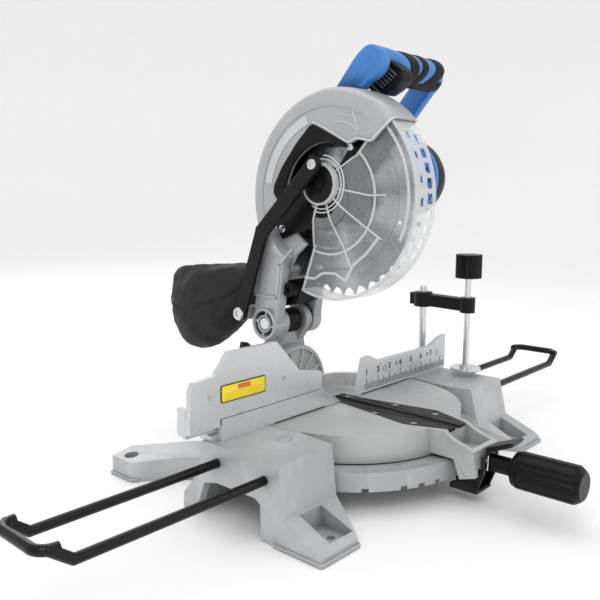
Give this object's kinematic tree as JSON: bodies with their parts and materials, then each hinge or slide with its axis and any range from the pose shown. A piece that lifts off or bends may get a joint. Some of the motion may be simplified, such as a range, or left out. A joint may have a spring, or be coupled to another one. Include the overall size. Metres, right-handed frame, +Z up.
{
  "type": "mitre saw",
  "caption": "Compound mitre saw with a turntable, tilting and chopping head, guarded blade, pull-out wings, vise and dust bag.",
  "frame": {"origin": "on the ground under the turntable's pivot, which is also the bottom centre of the whole saw", "axes": "+X the operator's right along the fence, +Y away from the operator, +Z up"},
  "size_m": [0.96, 0.6238, 0.5275],
  "materials": {
    "cast": "painted silver casting",
    "table": "machined casting",
    "fence": "machined aluminium",
    "steel": "zinc plated steel",
    "dark_steel": "black oxide steel",
    "black_rod": "gloss black coated steel",
    "black_plastic": "moulded black plastic",
    "blue": "moulded blue plastic",
    "rubber": "soft grip rubber",
    "clear": "clear moulded plastic",
    "blade": "ground steel",
    "copper": "copper windings",
    "fabric": "woven black cloth",
    "yellow": "plain yellow plate",
    "red": "moulded red plastic"
  },
  "bodies": {
    "base": {"scale_ring": "cast", "tower_left": "cast", "tower_right": "cast", "pivot_bolt": "dark_steel", "fence": "fence", "fence_bolts": "dark_steel", "wing_screws": "dark_steel"},
    "table": {"turntable": "table", "kerf_plate_left": "black_plastic", "kerf_plate_right": "black_plastic", "kerf_screws": "steel", "detent_pin": "steel", "detent_spring": "steel", "bevel_bolt": "dark_steel"},
    "mitre_lock": {"lock_rod": "steel", "lock_grip": "black_plastic"},
    "detent": {"detent_lever": "dark_steel"},
    "left_fence": {"fence_slide": "fence", "fence_label": "yellow"},
    "fence_clamp": {"fence_clamp": "black_plastic"},
    "wing_left": {"wing_left": "black_rod"},
    "wing_right": {"wing_right": "black_rod"},
    "vise_post": {"vise_post": "steel"},
    "vise_arm": {"vise_arm": "dark_steel"},
    "vise_pad": {"vise_pad": "steel"},
    "vise_screw": {"vise_screw": "steel", "vise_knob": "black_plastic"},
    "bevel": {"bevel_arm": "cast", "return_spring": "dark_steel"},
    "bevel_lock": {"bevel_lock": "black_plastic"},
    "head": {"hinge_pin": "steel", "upper_guard": "cast", "guard_plate": "dark_steel", "centre_cover": "dark_steel", "cover_screws": "steel", "arm_cover": "black_plastic", "gear_case": "cast", "motor_housing": "blue", "motor_cap": "black_plastic", "brush_caps": "black_plastic", "handle": "blue", "grip_rubber": "rubber", "handle_screws": "dark_steel", "dust_nozzle": "black_plastic", "dust_bag": "fabric", "cord_gland": "rubber"},
    "stop_pin": {"stop_knob": "black_plastic"},
    "spindle_lock": {"spindle_lock": "black_plastic"},
    "trigger": {"trigger": "black_plastic"},
    "lock_off": {"lock_off": "red"},
    "lower_guard": {"lower_guard": "clear", "hub_cap": "black_plastic"},
    "link": {"link_lever": "dark_steel", "link_screws": "steel"},
    "blade": {"blade": "blade", "flanges": "dark_steel", "arbor_bolt": "dark_steel", "spindle": "steel", "gear": "steel"},
    "armature": {"armature": "copper"}
  },
  "joints": [
    {"name": "mitre_turn", "type": "hinge", "parent": "base", "child": "table", "pos_m": [0, 0, 0.05], "axis": [0, 0, -1], "range_deg": [-45, 45]},
    {"name": "mitre_lock_turn", "type": "hinge", "parent": "table", "child": "mitre_lock", "pos_m": [0, -0.24, 0.05], "axis": [0, 1, 0], "range_deg": [-120, 0]},
    {"name": "detent_lift", "type": "hinge", "parent": "table", "child": "detent", "pos_m": [0, -0.19, 0.039], "axis": [1, 0, 0], "range_deg": [-8, 0], "stiffness_Nm_per_rad": 1.2, "springref_deg": 20.05},
    {"name": "fence_slide", "type": "slide", "parent": "base", "child": "left_fence", "axis": [-1, 0, 0], "range_m": [0, 0.091]},
    {"name": "fence_clamp_turn", "type": "hinge", "parent": "left_fence", "child": "fence_clamp", "pos_m": [-0.131, 0.02, 0.099], "axis": [0, 1, 0], "range_deg": [0, 180]},
    {"name": "wing_left_slide", "type": "slide", "parent": "base", "child": "wing_left", "axis": [-1, 0, 0], "range_m": [-0.015, 0.03]},
    {"name": "wing_right_slide", "type": "slide", "parent": "base", "child": "wing_right", "axis": [1, 0, 0], "range_m": [-0.015, 0.03]},
    {"name": "vise_swing", "type": "hinge", "parent": "base", "child": "vise_post", "pos_m": [0.227, 0.033, 0.1], "axis": [0, 0, 1], "range_deg": [-30, 35]},
    {"name": "vise_height", "type": "slide", "parent": "vise_post", "child": "vise_arm", "axis": [0, 0, 1], "range_m": [0, 0.009]},
    {"name": "vise_feed", "type": "slide", "parent": "vise_arm", "child": "vise_pad", "axis": [0, 0, 1], "range_m": [-0.008, 0.024]},
    {"name": "vise_screw_turn", "type": "hinge", "parent": "vise_pad", "child": "vise_screw", "pos_m": [0.216, -0.05, 0.15], "axis": [0, 0, 1], "range_deg": [-730, 2170]},
    {"name": "bevel_tilt", "type": "hinge", "parent": "table", "child": "bevel", "pos_m": [0, 0.108, 0.082], "axis": [0, -1, 0], "range_deg": [0, 45]},
    {"name": "bevel_lock_turn", "type": "hinge", "parent": "bevel", "child": "bevel_lock", "pos_m": [-0.036, 0.13, 0.118], "axis": [0, 1, 0], "range_deg": [-35, 0]},
    {"name": "chop", "type": "hinge", "parent": "bevel", "child": "head", "pos_m": [0, 0.108, 0.176], "axis": [1, 0, 0], "range_deg": [0, 56], "stiffness_Nm_per_rad": 8, "springref_deg": -91.67},
    {"name": "stop_pin_pull", "type": "slide", "parent": "head", "child": "stop_pin", "axis": [-1, 0, 0], "range_m": [0, 0.006]},
    {"name": "guard_turn", "type": "hinge", "parent": "head", "child": "lower_guard", "pos_m": [0, 0.016, 0.345], "axis": [1, 0, 0], "range_deg": [-130, 0]},
    {"name": "link_swing", "type": "hinge", "parent": "bevel", "child": "link", "pos_m": [-0.058, 0.141, 0.188], "axis": [1, 0, 0], "range_deg": [0, 50]},
    {"name": "blade_spin", "type": "hinge", "parent": "head", "child": "blade", "pos_m": [0, 0.016, 0.345], "axis": [1, 0, 0], "continuous": true},
    {"name": "armature_spin", "type": "hinge", "parent": "head", "child": "armature", "pos_m": [0.05, 0.016, 0.37], "axis": [1, 0, 0], "continuous": true},
    {"name": "trigger_squeeze", "type": "slide", "parent": "head", "child": "trigger", "axis": [0, -0.66, 0.7513], "range_m": [0, 0.005], "stiffness_N_per_m": 400, "springref_m": -0.003},
    {"name": "lock_off_press", "type": "slide", "parent": "head", "child": "lock_off", "axis": [-1, 0, 0], "range_m": [0, 0.003], "stiffness_N_per_m": 300, "springref_m": -0.002},
    {"name": "spindle_lock_press", "type": "slide", "parent": "head", "child": "spindle_lock", "axis": [0, 1, 0], "range_m": [0, 0.0015], "stiffness_N_per_m": 400, "springref_m": -0.002}
  ],
  "couplings": [
    {"joint": "guard_turn", "follows": "chop", "ratio": -2.2},
    {"joint": "link_swing", "follows": "chop", "ratio": 0.82},
    {"joint": "armature_spin", "follows": "blade_spin", "ratio": -4},
    {"joint": "vise_screw_turn", "follows": "vise_feed", "rad_per_m": 1570.8}
  ]
}
